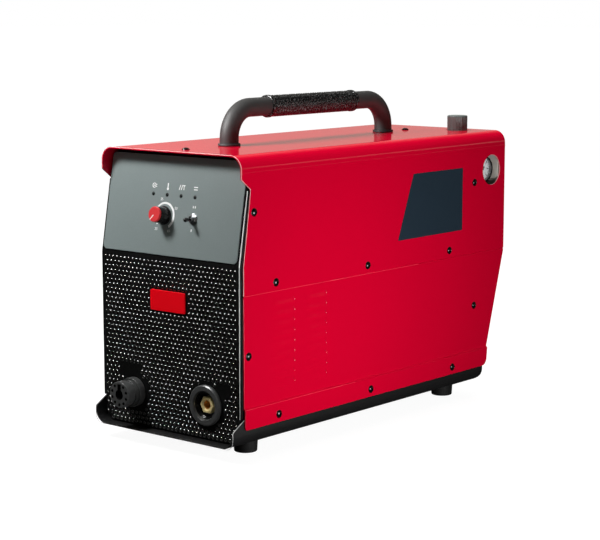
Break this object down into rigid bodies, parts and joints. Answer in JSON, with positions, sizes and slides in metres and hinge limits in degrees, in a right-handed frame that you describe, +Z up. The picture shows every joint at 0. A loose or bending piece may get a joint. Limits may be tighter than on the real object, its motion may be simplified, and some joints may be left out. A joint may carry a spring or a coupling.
{
  "type": "plasma cutter unit",
  "caption": "Portable plasma cutter power source: folded sheet-steel cabinet with a carrying handle, front controls, torch and earth sockets, air regulator with gauge, and a rear fan.",
  "frame": {"origin": "on the floor under the middle of the whole box", "axes": "+Z up, the control front faces -Y, the gauge side faces +X"},
  "size_m": [0.213, 0.529, 0.3739],
  "materials": {
    "red_paint": "gloss powder coat",
    "black_paint": "satin powder coat",
    "black_plastic": "moulded",
    "grey_plate": "satin fine grain",
    "red_plastic": "smooth",
    "rubber": "matte",
    "grip_sleeve": "textured",
    "brass": "turned",
    "chrome": "plated",
    "zinc_steel": "zinc plated",
    "aluminium": "cast and extruded",
    "dial_white": "matte print",
    "clear_glass": "clear",
    "smoked_lamp": "smoked",
    "board_green": "laminate",
    "copper_winding": "enamelled copper",
    "ferrite": "sintered",
    "hose_blue": "tube"
  },
  "bodies": {
    "cabinet": {"air_hose": "hose_blue", "air_inlet": "brass", "badge_plate": "red_plastic", "base_tray": "black_paint", "control_board": "board_green", "control_plate": "grey_plate", "cover_screw_front": "black_paint", "cover_screw_rear": "black_paint", "current_potentiometer": "zinc_steel", "earth_socket_insert": "brass", "earth_socket_shell": "black_plastic", "fan_frame": "black_plastic", "fan_guard": "black_plastic", "foot_front_left": "rubber", "foot_front_right": "rubber", "foot_rear_left": "rubber", "foot_rear_right": "rubber", "front_panel": "black_plastic", "gauge_case": "black_paint", "gauge_dial": "dial_white", "gauge_lens": "clear_glass", "handle_bolt_front": "zinc_steel", "handle_bolt_rear": "zinc_steel", "handle_collar_front": "black_paint", "handle_collar_rear": "black_paint", "handle_grip": "grip_sleeve", "handle_tube": "black_paint", "heat_sink": "aluminium", "indicator_lamp_1": "smoked_lamp", "indicator_lamp_2": "smoked_lamp", "indicator_lamp_3": "smoked_lamp", "indicator_lamp_4": "smoked_lamp", "mains_gland": "black_plastic", "mains_gland_locknut": "black_plastic", "mains_switch_block": "black_plastic", "mains_switch_plate": "grey_plate", "power_board": "board_green", "power_module": "black_plastic", "rear_panel": "black_paint", "regulator_body": "aluminium", "regulator_bracket": "zinc_steel", "side_panel_left": "red_paint", "side_panel_right": "red_paint", "solenoid_valve": "brass", "toggle_body": "chrome", "toggle_nut": "chrome", "top_cover": "red_paint", "torch_socket_body": "black_plastic", "torch_socket_collar": "black_plastic", "transformer_coil": "copper_winding", "transformer_core": "ferrite"},
    "current_control": {"current_shaft": "aluminium", "current_knob": "black_plastic", "current_knob_cap": "red_plastic"},
    "toggle": {"toggle_lever": "black_plastic"},
    "spindle": {"regulator_spindle": "brass"},
    "pressure_knob": {"regulator_knob": "black_plastic"},
    "needle": {"gauge_needle": "black_paint"},
    "switch_knob": {"mains_switch_knob": "black_plastic"},
    "rotor": {"fan_rotor": "black_plastic"}
  },
  "joints": [
    {"name": "current_turn", "type": "hinge", "parent": "cabinet", "child": "current_control", "pos_m": [-0.0111, -0.2321, 0.2512], "axis": [0, 0.9848, -0.1736], "range_deg": [0, 280]},
    {"name": "toggle_flip", "type": "hinge", "parent": "cabinet", "child": "toggle", "pos_m": [0.0312, -0.23648, 0.25115], "axis": [-1, 0, 0], "range_deg": [0, 22]},
    {"name": "pressure_turn", "type": "hinge", "parent": "cabinet", "child": "spindle", "pos_m": [0.051, 0.2189, 0.3207], "axis": [0, 0, 1], "range_deg": [-720, 720]},
    {"name": "pressure_unlock", "type": "slide", "parent": "spindle", "child": "pressure_knob", "axis": [0, 0, 1], "range_m": [0, 0.004]},
    {"name": "needle_swing", "type": "hinge", "parent": "cabinet", "child": "needle", "pos_m": [0.094, 0.2189, 0.2746], "axis": [-1, 0, 0], "range_deg": [0, 270], "stiffness_Nm_per_rad": 0.00001},
    {"name": "mains_turn", "type": "hinge", "parent": "cabinet", "child": "switch_knob", "pos_m": [-0.03, 0.2385, 0.2607], "axis": [0, -1, 0], "range_deg": [0, 90]},
    {"name": "fan_spin", "type": "hinge", "parent": "cabinet", "child": "rotor", "pos_m": [0, 0.21559, 0.098], "axis": [0, 0.9591, -0.2832], "continuous": true}
  ]
}
